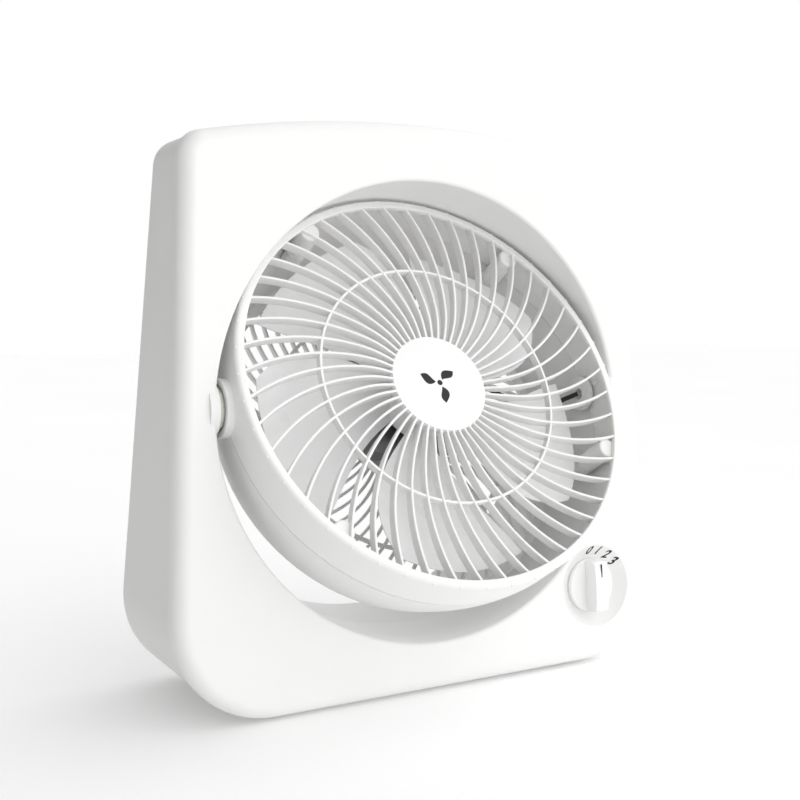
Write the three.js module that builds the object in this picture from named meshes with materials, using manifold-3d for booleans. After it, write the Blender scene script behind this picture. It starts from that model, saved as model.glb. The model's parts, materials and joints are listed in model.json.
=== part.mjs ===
// Tilting-head box fan: a wedge-shaped table housing with a round drum hung on two side pivots.
// Millimetres, Z up, front towards -Y, X to the right as seen from the front.
// The origin is under the middle of the fan, on the table.
import * as THREE from 'three';
import { mergeVertices } from 'three/addons/utils/BufferGeometryUtils.js';
import Module from 'manifold-3d';

const wasm = await Module();
wasm.setup();

const DEG = Math.PI / 180;
const GAP = 0.3;

// Housing. v is the distance up the leaning front face from the centre of its round opening.
const LEAN = 5 * DEG;
const REAR_LEAN = 5.2 * DEG;
const REAR_DEPTH = 86;
const UNDERSIDE = 2.1;
const BOTTOM_V = -163.3;
const TOP_V = 168.9;
const ARCH_RADIUS = 700;
const HALF_WIDTH = 156.3;
const SIDE_TAPER = 0.059;
const BOTTOM_CORNER = 56;
const TOP_CORNER = 16;
const WALL = 2.4;
const EDGE_RADIUS = 8.8;
const SEAM_DEPTH = 11;
const SEAM_STEP = 1.2;
const REAR_EDGE_RADIUS = 11;
const CENTRE_Z = UNDERSIDE - BOTTOM_V * Math.cos(LEAN);

// Round tunnel through the housing, measured along the normal of the front face.
const OPENING_RADIUS = 135;
const OPENING_LIP = 2;
const COLLAR_BULGE_DEPTH = 24;
const COLLAR_BULGE_RADIUS = 134.3;
const COLLAR_DEPTH = 52.2;
const COLLAR_END_RADIUS = 131;
const TUNNEL_END_DEPTH = 112;
const TUNNEL_END_RADIUS = 126.3;
const TUNNEL_SEGMENTS = 48;

// Drum. Its own frame has the pivot as origin and the fan axis along Y.
const TILT = 24.5 * DEG;
const PIVOT_V = 6.6;
const PIVOT_DEPTH = 14.1;
const RIM_Y = -25.9;
const RIM_RADIUS = 125;
const RIM_INNER_RADIUS = 119.7;
const PARTING_RADIUS = 126;
const DRUM_FALL = 9;
const DRUM_BACK_Y = 46;
const DRUM_BACK_RADIUS = 112;
const DRUM_WALL = 2.3;
const DRUM_SEGMENTS = 48;

// Front grille.
const RIB_COUNT = 48;
const RIB_FRONT_Y = RIM_Y + 0.4;
const RIB_BACK_Y = RIM_Y + 7;
const RIB_THICKNESS = 1.5;
const RIB_BEND_RADIUS = 119;
const RIB_BEND = 48.5 * DEG;
const RIB_SEGMENTS = 4;
const GRILLE_RING_RADIUS = 75;
const GRILLE_HUB_RADIUS = 29.5;
const HUB_FRONT_Y = RIM_Y + 3.6;
const HUB_BACK_Y = RIM_Y + 9;
const BADGE_RADIUS = 30.5;
const BADGE_DEPTH = 1;
const DIP_RADIUS = 45;

// Rear guard.
const BAR_COUNT = 60;
const BAR_THICKNESS = 1.7;
const BAR_BEND_RADIUS = 70;
const BAR_BEND = 76 * DEG;
const BAR_SEGMENTS = 3;
const GUARD_Y = 42;
const GUARD_DEPTH = 4;
const GUARD_HUB_RADIUS = 32;
const GUARD_RING_RADIUS = 78;
const BRACKET_SCREW_X = 90;

// Fan and motor.
const BLADE_COUNT = 5;
const HUB_RADIUS = 22;
const TIP_RADIUS = 107;
const SHAFT_RADIUS = 3;
const ROTOR_RADIUS = 16;
const CORE_Y = 18;
const CORE_DEPTH = 14;

// Pivots.
const BOSS_RADIUS = 16.5;
const BOSS_X = 129.5;
const PIN_RADIUS = 6;
const SIDES = [['left', -1], ['right', 1]];

// Knob and switch, on the front face.
const KNOB_X = 114.5;
const KNOB_V = -115.7;
const DISH_RADIUS = 25.9;
const DISH_DEPTH = 7;
const KNOB_RADIUS = 17;
const KNOB_FACE_Y = 3.6;
const GRIP_TOP_Y = -6.6;
const GRIP_WIDTH = 9.7;

// Screws and feet.
const HOUSING_SCREWS = [[-128, 128], [128, 128], [-141, -72], [141, -72]];
const POST_END_DEPTH = 30;
const LUG_ANGLES = [48, 120, 225, 336];
const LUG_RADIUS = 117.4;
const FEET = [[-100, 12], [100, 12], [-100, 84], [100, 84]];
const GLAND = { x: -105, v: -128 };

const WHITE = { colour: 0xf4f4f1, roughness: 0.42, metalness: 0 };
const WHITE_INNER = { colour: 0xeeeeec, roughness: 0.5, metalness: 0 };
const BLADE_GREY = { colour: 0xd9dadb, roughness: 0.35, metalness: 0 };
const STEEL = { colour: 0x8d9094, roughness: 0.35, metalness: 1 };
const DARK_STEEL = { colour: 0x4b4d50, roughness: 0.5, metalness: 1 };
const COPPER = { colour: 0x9a5b34, roughness: 0.45, metalness: 1 };
const RUBBER = { colour: 0x55575a, roughness: 0.85, metalness: 0 };
const NYLON = { colour: 0xdddbd3, roughness: 0.5, metalness: 0 };
const BLACK = { colour: 0x2a2b2d, roughness: 0.6, metalness: 0 };

// ---------- solids ----------

// Turns a closed three.js geometry into a solid, with its faces outward.
function solid(geometry) {
  const bare = geometry.clone();
  bare.deleteAttribute('normal');
  bare.deleteAttribute('uv');
  const merged = mergeVertices(bare, 1e-4);
  const position = merged.getAttribute('position');
  const corners = [];
  let volume = 0;
  const a = new THREE.Vector3();
  const b = new THREE.Vector3();
  const c = new THREE.Vector3();
  for (let i = 0; i < merged.index.count; i += 3) {
    const [p, q, r] = [0, 1, 2].map((k) => merged.index.getX(i + k));
    if (p === q || q === r || p === r) continue;
    corners.push(p, q, r);
    a.fromBufferAttribute(position, p);
    b.fromBufferAttribute(position, q);
    c.fromBufferAttribute(position, r);
    volume += a.dot(b.cross(c));
  }
  if (volume < 0) {
    for (let i = 0; i < corners.length; i += 3) {
      [corners[i + 1], corners[i + 2]] = [corners[i + 2], corners[i + 1]];
    }
  }
  const mesh = new wasm.Mesh({
    numProp: 3,
    vertProperties: new Float32Array(position.array),
    triVerts: new Uint32Array(corners),
  });
  return new wasm.Manifold(mesh);
}

function join(parts) {
  return parts.reduce((whole, part) => whole.add(part));
}

function cut(whole, parts) {
  return parts.reduce((rest, part) => rest.subtract(part), whole);
}

// Solid of revolution about Y from [radius, y] pairs; a ring repeats its first pair at the end.
function turned(profile, segments) {
  const points = profile.map(([radius, y]) => new THREE.Vector2(radius, y));
  return new THREE.LatheGeometry(points, segments);
}

function ring(inner, outer, y0, y1, segments) {
  return turned([[inner, y0], [outer, y0], [outer, y1], [inner, y1], [inner, y0]], segments);
}

function rod(radius, y0, y1, segments) {
  return turned([[0, y0], [radius, y0], [radius, y1], [0, y1]], segments);
}

function box(x0, x1, y0, y1, z0, z1) {
  const geometry = new THREE.BoxGeometry(x1 - x0, y1 - y0, z1 - z0);
  return geometry.translate((x0 + x1) / 2, (y0 + y1) / 2, (z0 + z1) / 2);
}

// Skins a row of matching closed outlines and caps both ends.
function loft(outlines) {
  const count = outlines[0].length;
  const position = outlines.flat().flatMap((p) => [p.x, p.y, p.z]);
  const index = [];
  for (let k = 0; k + 1 < outlines.length; k += 1) {
    for (let i = 0; i < count; i += 1) {
      const near = k * count + i;
      const next = k * count + (i + 1) % count;
      index.push(near, next, near + count, next, next + count, near + count);
    }
  }
  const flat = outlines[0].map((p) => new THREE.Vector2(p.x, p.z));
  const last = (outlines.length - 1) * count;
  for (const [a, b, c] of THREE.ShapeUtils.triangulateShape(flat, [])) {
    index.push(a, c, b, last + a, last + b, last + c);
  }
  const geometry = new THREE.BufferGeometry();
  geometry.setAttribute('position', new THREE.Float32BufferAttribute(position, 3));
  geometry.setIndex(index);
  return geometry;
}

// ---------- frames ----------

// From the front face (Y into the housing, Z up the face) to the fan's frame.
function onPanel(geometry, x = 0, v = 0) {
  return geometry.rotateX(-LEAN)
    .translate(x, v * Math.sin(LEAN), CENTRE_Z + v * Math.cos(LEAN));
}

const PIVOT = new THREE.Vector3(0, PIVOT_DEPTH, PIVOT_V)
  .applyAxisAngle(new THREE.Vector3(1, 0, 0), -LEAN)
  .add(new THREE.Vector3(0, 0, CENTRE_Z));

// From a frame with Y along the pivot axis to the drum's frame; side is -1 left or 1 right.
function alongPivot(geometry, side) {
  return geometry.rotateZ(-side * Math.PI / 2);
}

// The same for pieces that stay with the housing.
function fixedPivot(geometry, side) {
  return alongPivot(geometry, side).translate(PIVOT.x, PIVOT.y, PIVOT.z);
}

// ---------- housing ----------

// Front outline of the housing as [x, v] pairs, moved inwards by inset.
function outline(inset) {
  const slope = Math.atan(SIDE_TAPER);
  const sideX = (v) => HALF_WIDTH - SIDE_TAPER * v - inset / Math.cos(slope);
  const half = [];
  const arc = (cx, cv, radius, from, to, steps) => {
    for (let i = 0; i <= steps; i += 1) {
      const angle = from + (to - from) * i / steps;
      half.push([cx + radius * Math.cos(angle), cv + radius * Math.sin(angle)]);
    }
  };
  const bottomRadius = BOTTOM_CORNER - inset;
  const bottomV = BOTTOM_V + inset + bottomRadius;
  const bottomX = sideX(bottomV) - bottomRadius / Math.cos(slope);
  arc(bottomX, bottomV, bottomRadius, -Math.PI / 2, slope, 7);
  const archV = TOP_V - ARCH_RADIUS;
  const archRadius = ARCH_RADIUS - inset;
  const topRadius = TOP_CORNER - inset;
  let low = 0;
  let high = TOP_V;
  while (high - low > 1e-6) {
    const middle = (low + high) / 2;
    const reach = Math.hypot(sideX(middle) - topRadius / Math.cos(slope), middle - archV);
    if (reach < archRadius - topRadius) low = middle;
    else high = middle;
  }
  const topX = sideX(low) - topRadius / Math.cos(slope);
  const meet = Math.atan2(low - archV, topX);
  arc(topX, low, topRadius, slope, meet, 4);
  const archSteps = 5;
  for (let i = 1; i < archSteps; i += 1) {
    const angle = meet + (Math.PI / 2 - meet) * i / archSteps;
    half.push([archRadius * Math.cos(angle), archV + archRadius * Math.sin(angle)]);
  }
  const mirrored = half.map(([x, v]) => [-x, v]).reverse();
  return [...half, [0, TOP_V - inset], ...mirrored];
}

// One outline at a depth behind the leaning front face.
function frontOutline(inset, depth) {
  return outline(inset).map(([x, v]) => new THREE.Vector3(
    x, v * Math.sin(LEAN) + depth, CENTRE_Z + v * Math.cos(LEAN)));
}

// One outline at a distance in front of the leaning back face.
function rearOutline(inset, forward) {
  return outline(inset).map(([x, v]) => {
    const z = v * Math.cos(LEAN);
    return new THREE.Vector3(x, REAR_DEPTH - z * Math.tan(REAR_LEAN) - forward, CENTRE_Z + z);
  });
}

function quarterSteps(steps) {
  return Array.from({ length: steps + 1 }, (_, i) => i / steps * Math.PI / 2);
}

// Front block of the housing with a rounded front edge; thickness moves every face inwards.
function frontBlock(thickness, depth) {
  const radius = EDGE_RADIUS - thickness;
  const rings = quarterSteps(3).map((angle) => frontOutline(
    thickness + radius * (1 - Math.sin(angle)), thickness + radius * (1 - Math.cos(angle))));
  return solid(loft([...rings, frontOutline(thickness, depth)]));
}

function rearBlock(thickness, depth) {
  const radius = REAR_EDGE_RADIUS - thickness;
  const inset = SEAM_STEP + thickness;
  const rings = quarterSteps(3).map((angle) => rearOutline(
    inset + radius * (1 - Math.cos(angle)), thickness + radius * (1 - Math.sin(angle))));
  return solid(loft([frontOutline(inset, depth), ...rings]));
}

// Screw axis running straight back from a point on the front face.
function atScrew(geometry, [x, v]) {
  return geometry.translate(x, v * Math.sin(LEAN), CENTRE_Z + v * Math.cos(LEAN));
}

function atFoot(geometry, [x, y]) {
  return geometry.rotateX(Math.PI / 2).translate(x, y, 0);
}

function tunnel(y0, r0, y1, r1) {
  const profile = [[r0, y0], [r0 + WALL, y0], [r1 + WALL, y1], [r1, y1], [r0, y0]];
  return onPanel(turned(profile, TUNNEL_SEGMENTS));
}

function frontPanel() {
  const shell = frontBlock(0, SEAM_DEPTH).subtract(frontBlock(WALL, SEAM_DEPTH + 1));
  const collarWall = solid(onPanel(turned([
    [0, 1], [OPENING_RADIUS + WALL, 1], [COLLAR_BULGE_RADIUS + WALL, COLLAR_BULGE_DEPTH],
    [COLLAR_END_RADIUS + WALL, COLLAR_DEPTH], [0, COLLAR_DEPTH],
  ], TUNNEL_SEGMENTS)));
  const bore = solid(onPanel(turned([
    [0, -5],
    [OPENING_RADIUS + OPENING_LIP, -5],
    [OPENING_RADIUS + OPENING_LIP, 0],
    [OPENING_RADIUS + 0.6, 0.6],
    [OPENING_RADIUS, OPENING_LIP],
    [COLLAR_BULGE_RADIUS, COLLAR_BULGE_DEPTH],
    [COLLAR_END_RADIUS, COLLAR_DEPTH],
    [COLLAR_END_RADIUS, COLLAR_DEPTH + 5],
    [0, COLLAR_DEPTH + 5],
  ], TUNNEL_SEGMENTS)));
  const dishBack = solid(onPanel(
    rod(DISH_RADIUS + WALL, 1, DISH_DEPTH + WALL, 24), KNOB_X, KNOB_V));
  const dish = solid(onPanel(turned([
    [0, -2], [DISH_RADIUS, -2], [DISH_RADIUS, 0], [23.4, 3.4], [20.6, 5.8], [18, DISH_DEPTH],
    [0, DISH_DEPTH],
  ], 24), KNOB_X, KNOB_V));
  const shaftHole = solid(onPanel(rod(5, 0, 20, 16), KNOB_X, KNOB_V));
  const posts = HOUSING_SCREWS.map((at) => solid(atScrew(rod(5, 1.5, POST_END_DEPTH, 8), at)));
  const pilots = HOUSING_SCREWS.map((at) => solid(atScrew(
    rod(1.7, POST_END_DEPTH - 16, POST_END_DEPTH + 5, 6), at)));
  const pads = [-1, 1].map((side) => solid(fixedPivot(rod(BOSS_RADIUS, 132.8, 138.5, 24), side)));
  const pinHoles = [-1, 1].map((side) => solid(fixedPivot(rod(8, 120, 150, 16), side)));
  const body = join([shell, collarWall, dishBack, ...posts]);
  return cut(cut(body, [bore, dish, shaftHole, ...pilots]).add(join(pads)), pinHoles);
}

function rearHousing() {
  const outer = rearBlock(0, SEAM_DEPTH + GAP);
  const shell = outer.subtract(rearBlock(WALL, SEAM_DEPTH - 1));
  const start = COLLAR_DEPTH + GAP;
  const wall = solid(tunnel(start, COLLAR_END_RADIUS, TUNNEL_END_DEPTH, TUNNEL_END_RADIUS));
  const bore = solid(onPanel(turned([
    [0, start - 30], [COLLAR_END_RADIUS, start - 30], [COLLAR_END_RADIUS, start],
    [TUNNEL_END_RADIUS, TUNNEL_END_DEPTH], [TUNNEL_END_RADIUS, TUNNEL_END_DEPTH + 20],
    [0, TUNNEL_END_DEPTH + 20],
  ], TUNNEL_SEGMENTS)));
  const reach = 140;
  const postStart = POST_END_DEPTH + GAP;
  const posts = HOUSING_SCREWS.map((at) => solid(atScrew(rod(6.2, postStart, reach, 8), at)));
  const heads = HOUSING_SCREWS.map((at) => solid(atScrew(rod(4.6, postStart + 4, reach, 8), at)));
  const shanks = HOUSING_SCREWS.map((at) => solid(atScrew(rod(2.1, 0, reach, 6), at)));
  const footHoles = FEET.map((at) => solid(atFoot(rod(3.3, -20, 12, 10), at)));
  const inlet = solid(atScrew(rod(5.2, 40, reach, 16), [GLAND.x, GLAND.v]));
  const body = shell.subtract(bore).add(join([wall, ...posts]).intersect(outer));
  return cut(body, [...heads, ...shanks, ...footHoles, inlet]);
}

function foot() {
  return turned([[0, 0], [8.2, 0], [9, 0.8], [9, 3], [3, 3], [3, 6], [3.9, 6.3], [2.4, 9],
    [0, 9]], 12);
}

function housingScrew() {
  const seat = POST_END_DEPTH + GAP + 4 + 0.2;
  return turned([[0, seat - 16], [1, seat - 16], [1.4, seat - 15], [1.4, seat], [3.8, seat],
    [3.8, seat + 1.6], [3, seat + 2.6], [1, seat + 2.6], [1, seat + 1.2], [0, seat + 1.2]], 8);
}

function gland() {
  const z = GLAND.v * Math.cos(LEAN);
  const back = REAR_DEPTH - z * Math.tan(REAR_LEAN) - GLAND.v * Math.sin(LEAN);
  const profile = [[3.6, back - 6.5], [4.9, back - 6.5], [4.9, back + 1.2], [8, back + 1.2],
    [7, back + 3.2], [3.6, back + 4], [3.6, back - 6.5]];
  return atScrew(turned(profile, 16), [GLAND.x, GLAND.v]);
}

// ---------- knob and switch ----------

function knob() {
  const disc = solid(turned([[0, KNOB_FACE_Y], [KNOB_RADIUS - 0.8, KNOB_FACE_Y],
    [KNOB_RADIUS, KNOB_FACE_Y + 0.8], [KNOB_RADIUS, DISH_DEPTH - 0.4],
    [KNOB_RADIUS - 1.6, DISH_DEPTH - 0.4], [KNOB_RADIUS - 1.6, KNOB_FACE_Y + 1.2],
    [0, KNOB_FACE_Y + 1.2]], 28));
  const half = GRIP_WIDTH / 2;
  const bar = solid(box(-half, half, GRIP_TOP_Y, KNOB_FACE_Y + 1, -KNOB_RADIUS, KNOB_RADIUS));
  const crown = solid(turned([[0, GRIP_TOP_Y], [14.6, GRIP_TOP_Y], [16.2, GRIP_TOP_Y + 1.2],
    [KNOB_RADIUS - 0.3, KNOB_FACE_Y + 1], [0, KNOB_FACE_Y + 1]], 28));
  const bore = solid(rod(3, -4, 10, 16));
  return disc.add(bar.intersect(crown)).subtract(bore);
}

function switchBody() {
  const back = DISH_DEPTH + WALL + GAP;
  const block = solid(box(-14, 14, back, back + 16, -14, 14));
  const neck = solid(rod(4.6, DISH_DEPTH - 1.9, back + 1, 20));
  const tabs = [-8, 0, 8].map((x) => solid(box(x - 2.4, x + 2.4, back + 15, back + 23, -0.4, 0.4)));
  return join([block, neck, ...tabs]).subtract(solid(rod(3, -4, back + 7, 16)));
}

function switchNut() {
  return solid(turned([[0, 5.2], [7, 5.2], [7, 6.8], [0, 6.8]], 6)).subtract(
    solid(rod(4.9, 0, 10, 20)));
}

function switchShaft() {
  return turned([[0, -3.6], [2.7, -3.6], [2.7, 15.6], [0, 15.6]], 16);
}

// ---------- drum ----------

// Radius of the drum's outer face at a depth behind the pivot plane.
function drumRadius(y) {
  if (y <= 0) return PARTING_RADIUS + (RIM_RADIUS - PARTING_RADIUS) * y / RIM_Y;
  return PARTING_RADIUS - DRUM_FALL * (y / GUARD_Y) ** 1.6;
}

function lugAt(geometry, degrees) {
  const angle = degrees * DEG;
  return geometry.translate(LUG_RADIUS * Math.cos(angle), 0, LUG_RADIUS * Math.sin(angle));
}

// Thin bar with its long side along a flat path of [x, z] pairs.
function bar(path, thickness, y0, y1) {
  const left = [];
  const right = [];
  path.forEach(([x, z], i) => {
    const [ax, az] = path[Math.max(i - 1, 0)];
    const [bx, bz] = path[Math.min(i + 1, path.length - 1)];
    const length = Math.hypot(bx - ax, bz - az);
    const nx = -(bz - az) / length * thickness / 2;
    const nz = (bx - ax) / length * thickness / 2;
    left.push([x + nx, z + nz]);
    right.push([x - nx, z - nz]);
  });
  const around = [...right, ...left.reverse()];
  const at = (y) => around.map(([x, z]) => new THREE.Vector3(x, y, z));
  return loft([at(y0), at(y1)]);
}

// A path that leaves the hub straight out and bends round at a constant radius.
function bentPath(start, radius, bend, steps) {
  return Array.from({ length: steps + 1 }, (_, i) => {
    const angle = bend * i / steps;
    return [start + radius * Math.sin(angle), radius * (1 - Math.cos(angle))];
  });
}

function aroundAxis(piece, count) {
  return Array.from({ length: count }, (_, i) => piece.rotate([0, i * 360 / count, 0]));
}

function frontGrille() {
  const inner = (y) => drumRadius(y) - DRUM_WALL;
  const skirt = solid(turned([
    [RIM_INNER_RADIUS, RIM_Y], [RIM_RADIUS - 2.4, RIM_Y], [RIM_RADIUS - 0.7, RIM_Y + 0.7],
    [RIM_RADIUS, RIM_Y + 2.4], [PARTING_RADIUS, -GAP / 2], [inner(0), -GAP / 2],
    [inner(RIM_Y), RIM_Y + 3], [RIM_INNER_RADIUS, RIM_Y + 3], [RIM_INNER_RADIUS, RIM_Y],
  ], DRUM_SEGMENTS));
  const wheel = solid(ring(GRILLE_RING_RADIUS - 0.7, GRILLE_RING_RADIUS + 0.7,
    RIB_FRONT_Y + 0.6, RIB_BACK_Y - 0.6, RIB_COUNT));
  const hub = solid(turned([[0, HUB_FRONT_Y], [GRILLE_HUB_RADIUS, HUB_FRONT_Y],
    [GRILLE_HUB_RADIUS, HUB_BACK_Y], [GRILLE_HUB_RADIUS - 2, HUB_BACK_Y],
    [GRILLE_HUB_RADIUS - 2, HUB_FRONT_Y + 2], [0, HUB_FRONT_Y + 2]], RIB_COUNT));
  const ribStart = GRILLE_HUB_RADIUS - 1;
  const rib = solid(bar(bentPath(ribStart, RIB_BEND_RADIUS, RIB_BEND, RIB_SEGMENTS), RIB_THICKNESS,
    RIB_FRONT_Y, RIB_BACK_Y));
  const dip = solid(turned([[0, RIM_Y - 5], [DIP_RADIUS + 8, RIM_Y - 5], [DIP_RADIUS, RIB_FRONT_Y],
    [BADGE_RADIUS + 0.5, HUB_FRONT_Y - BADGE_DEPTH], [BADGE_RADIUS + 0.5, HUB_FRONT_Y],
    [0, HUB_FRONT_Y]], RIB_COUNT));
  const ribs = aroundAxis(rib.subtract(dip), RIB_COUNT);
  const keep = solid(rod(inner(RIM_Y) + 1, RIM_Y, 0, DRUM_SEGMENTS));
  const lugs = LUG_ANGLES.map((a) => solid(lugAt(rod(6.2, RIM_Y + 2.5, -GAP / 2, 10), a)));
  const pilots = LUG_ANGLES.map((a) => solid(lugAt(rod(1.4, -12, 5, 6), a)));
  const lugKeep = solid(rod(PARTING_RADIUS - 1, RIM_Y + 1, 5, DRUM_SEGMENTS));
  const bosses = [-1, 1].map((side) => solid(alongPivot(rod(BOSS_RADIUS, 123.4, BOSS_X, 24), side)));
  const frontHalf = solid(box(-150, 150, -40, -GAP / 2, -40, 40));
  const bores = [-1, 1].map((side) => solid(alongPivot(rod(PIN_RADIUS + GAP, 100, 150, 16), side)));
  const body = join([skirt, wheel, hub, join(ribs).intersect(keep), join(lugs).intersect(lugKeep),
    join(bosses).intersect(frontHalf)]);
  return cut(body, [...pilots, ...bores]);
}

function badge() {
  const back = HUB_FRONT_Y - GAP;
  const front = HUB_FRONT_Y - BADGE_DEPTH - GAP;
  return turned([[0, front], [BADGE_RADIUS - 1, front], [BADGE_RADIUS, front + 0.4],
    [BADGE_RADIUS, back], [0, back]], 32);
}

function rearGrille() {
  const steps = [0, 0.5, 1].map((k) => k * GUARD_Y);
  const outer = steps.map((y) => [drumRadius(y), Math.max(y, GAP / 2)]);
  const inner = steps.map((y) => [drumRadius(y) - DRUM_WALL, Math.max(y, GAP / 2)]).reverse();
  const skirt = solid(turned([...outer, [DRUM_BACK_RADIUS + 3, DRUM_BACK_Y - 1.4],
    [DRUM_BACK_RADIUS, DRUM_BACK_Y], [DRUM_BACK_RADIUS - 3, DRUM_BACK_Y],
    [DRUM_BACK_RADIUS - 3, GUARD_Y], ...inner, outer[0]], DRUM_SEGMENTS));
  const back = GUARD_Y + GUARD_DEPTH;
  const hoop = solid(ring(GUARD_RING_RADIUS - 1, GUARD_RING_RADIUS + 1, GUARD_Y + 0.5, back - 0.5,
    BAR_COUNT / 2));
  const rim = GUARD_HUB_RADIUS - 3;
  const centre = solid(turned([[0, back - 1.8], [rim, back - 1.8], [rim, GUARD_Y],
    [GUARD_HUB_RADIUS, GUARD_Y], [GUARD_HUB_RADIUS, back], [0, back]], BAR_COUNT / 2));
  const path = bentPath(GUARD_HUB_RADIUS - 2, BAR_BEND_RADIUS, BAR_BEND, BAR_SEGMENTS);
  const curved = solid(bar(path.map(([x, z]) => [x, -z]), BAR_THICKNESS, GUARD_Y + 0.2, back - 0.2));
  const bars = aroundAxis(curved, BAR_COUNT);
  const lugs = LUG_ANGLES.map((a) => solid(lugAt(rod(6.2, GAP / 2, 12, 10), a)));
  const clear = LUG_ANGLES.map((a) => solid(lugAt(rod(1.9, -5, 20, 6), a)));
  const lugKeep = solid(rod(drumRadius(12) - 1, -5, 20, DRUM_SEGMENTS));
  const bosses = [-1, 1].map((side) => solid(alongPivot(rod(BOSS_RADIUS, 122.4, BOSS_X, 24), side)));
  const rearHalf = solid(box(-150, 150, GAP / 2, 40, -40, 40));
  const bores = [-1, 1].map((side) => solid(alongPivot(rod(PIN_RADIUS + GAP, 100, 150, 16), side)));
  const seats = [-1, 1].map((side) => solid(rod(5, GUARD_Y - 3, GUARD_Y + 2, 12)
    .translate(side * BRACKET_SCREW_X, 0, 0)));
  const pilots = [-1, 1].map((side) => solid(rod(1.4, GUARD_Y - 9, GUARD_Y + 0.5, 8)
    .translate(side * BRACKET_SCREW_X, 0, 0)));
  const body = join([skirt, centre, hoop, ...bars, ...seats, join(lugs).intersect(lugKeep),
    join(bosses).intersect(rearHalf)]);
  return cut(body, [...clear, ...bores, ...pilots]);
}

function lugScrew(degrees) {
  return lugAt(turned([[0, -9], [1, -9], [1.15, -8], [1.15, 12.3], [3.2, 12.3], [3.2, 13.6],
    [2.4, 14.6], [0, 14.6]], 8), degrees);
}

// ---------- fan and motor ----------

// One blade as a thin twisted sheet, wider and flatter towards its tip.
function blade() {
  const along = 5;
  const across = 5;
  const thickness = 1.8;
  const point = (i, j, side) => {
    const s = i / along;
    const t = j / across;
    const radius = HUB_RADIUS - 1.5 + (TIP_RADIUS - HUB_RADIUS + 1.5) * s;
    const width = (48 + 12 * Math.sin(Math.PI * s * 0.8)) * DEG;
    const sweep = 16 * s * s * DEG;
    const rounding = 0.12 * s ** 6 * Math.cos(Math.PI * t) ** 2;
    const angle = sweep + width * (t - 0.5) * (1 - rounding);
    const pitch = 9.5 - 3 * s;
    const camber = 2.2 * Math.cos(Math.PI * (t - 0.5));
    const y = -pitch * Math.cos(Math.PI * t) * 0.9 + camber + side * thickness / 2 - 1;
    return [radius * Math.cos(angle), y, radius * Math.sin(angle)];
  };
  const position = [];
  const index = [];
  for (const side of [-1, 1]) {
    for (let i = 0; i <= along; i += 1) {
      for (let j = 0; j <= across; j += 1) position.push(...point(i, j, side));
    }
  }
  const row = across + 1;
  const sheet = row * (along + 1);
  for (let i = 0; i < along; i += 1) {
    for (let j = 0; j < across; j += 1) {
      const a = i * row + j;
      index.push(a, a + 1, a + row, a + 1, a + row + 1, a + row);
      const b = a + sheet;
      index.push(b, b + row, b + 1, b + 1, b + row, b + row + 1);
    }
  }
  const rim = [];
  for (let j = 0; j < across; j += 1) rim.push(j);
  for (let i = 0; i < along; i += 1) rim.push(i * row + across);
  for (let j = across; j > 0; j -= 1) rim.push(along * row + j);
  for (let i = along; i > 0; i -= 1) rim.push(i * row);
  rim.forEach((a, k) => {
    const b = rim[(k + 1) % rim.length];
    index.push(a, a + sheet, b, b, a + sheet, b + sheet);
  });
  const geometry = new THREE.BufferGeometry();
  geometry.setAttribute('position', new THREE.Float32BufferAttribute(position, 3));
  geometry.setIndex(index);
  return geometry;
}

function fanBlade() {
  const hub = solid(turned([[0, -12], [HUB_RADIUS - 3, -12], [HUB_RADIUS, -9], [HUB_RADIUS, 9],
    [HUB_RADIUS - 2, 9], [HUB_RADIUS - 2, -8], [7, -8], [7, 8], [0, 8]], 24));
  const one = solid(blade());
  const start = 35;
  const blades = Array.from({ length: BLADE_COUNT }, (_, i) => one.rotate(
    [0, start + i * 360 / BLADE_COUNT, 0]));
  return join([hub, ...blades]).subtract(solid(rod(SHAFT_RADIUS + GAP, -14, 14, 16)));
}

function bladeNut() {
  return solid(turned([[0, -16.4], [3, -16.2], [5.4, -15], [6, -12.3], [0, -12.3]], 16)).subtract(
    solid(rod(SHAFT_RADIUS + GAP, -14.4, 0, 16)));
}

function motorShaft() {
  const spindle = solid(rod(SHAFT_RADIUS, -14, 40.5, 16));
  return spindle.add(solid(rod(ROTOR_RADIUS - 0.4, CORE_Y, CORE_Y + CORE_DEPTH, 20)));
}

function motorCore() {
  const back = CORE_Y + CORE_DEPTH;
  const block = solid(box(-29, 29, CORE_Y, back, -24, 39));
  const window = solid(box(-15, 15, CORE_Y - 5, back + 5, 20.5, 31));
  const bore = solid(rod(ROTOR_RADIUS + 0.4, CORE_Y - 5, back + 5, 24));
  const holes = [-1, 1].map((side) => solid(rod(2.2, 0, 60, 10).translate(side * 24, 0, 0)));
  return cut(block, [window, bore, ...holes]);
}

function motorCoil() {
  const back = CORE_Y + CORE_DEPTH;
  const body = solid(box(-14, 14, CORE_Y - 7, back + 7, 21.5, 48));
  return body.subtract(solid(box(-20, 20, CORE_Y - GAP, back + GAP, 30.6, 39.4)));
}

function motorEnd(y0) {
  const plate = solid(box(-29, 29, y0, y0 + 2.6, -9, 9));
  const boss = solid(rod(7.5, y0 - 1.5, y0 + 4, 16));
  const holes = [-24, 0, 24].map((x) => solid(rod(x === 0 ? SHAFT_RADIUS + GAP : 2.2, -10, 60, 12)
    .translate(x, 0, 0)));
  return cut(plate.add(boss), holes);
}

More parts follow.
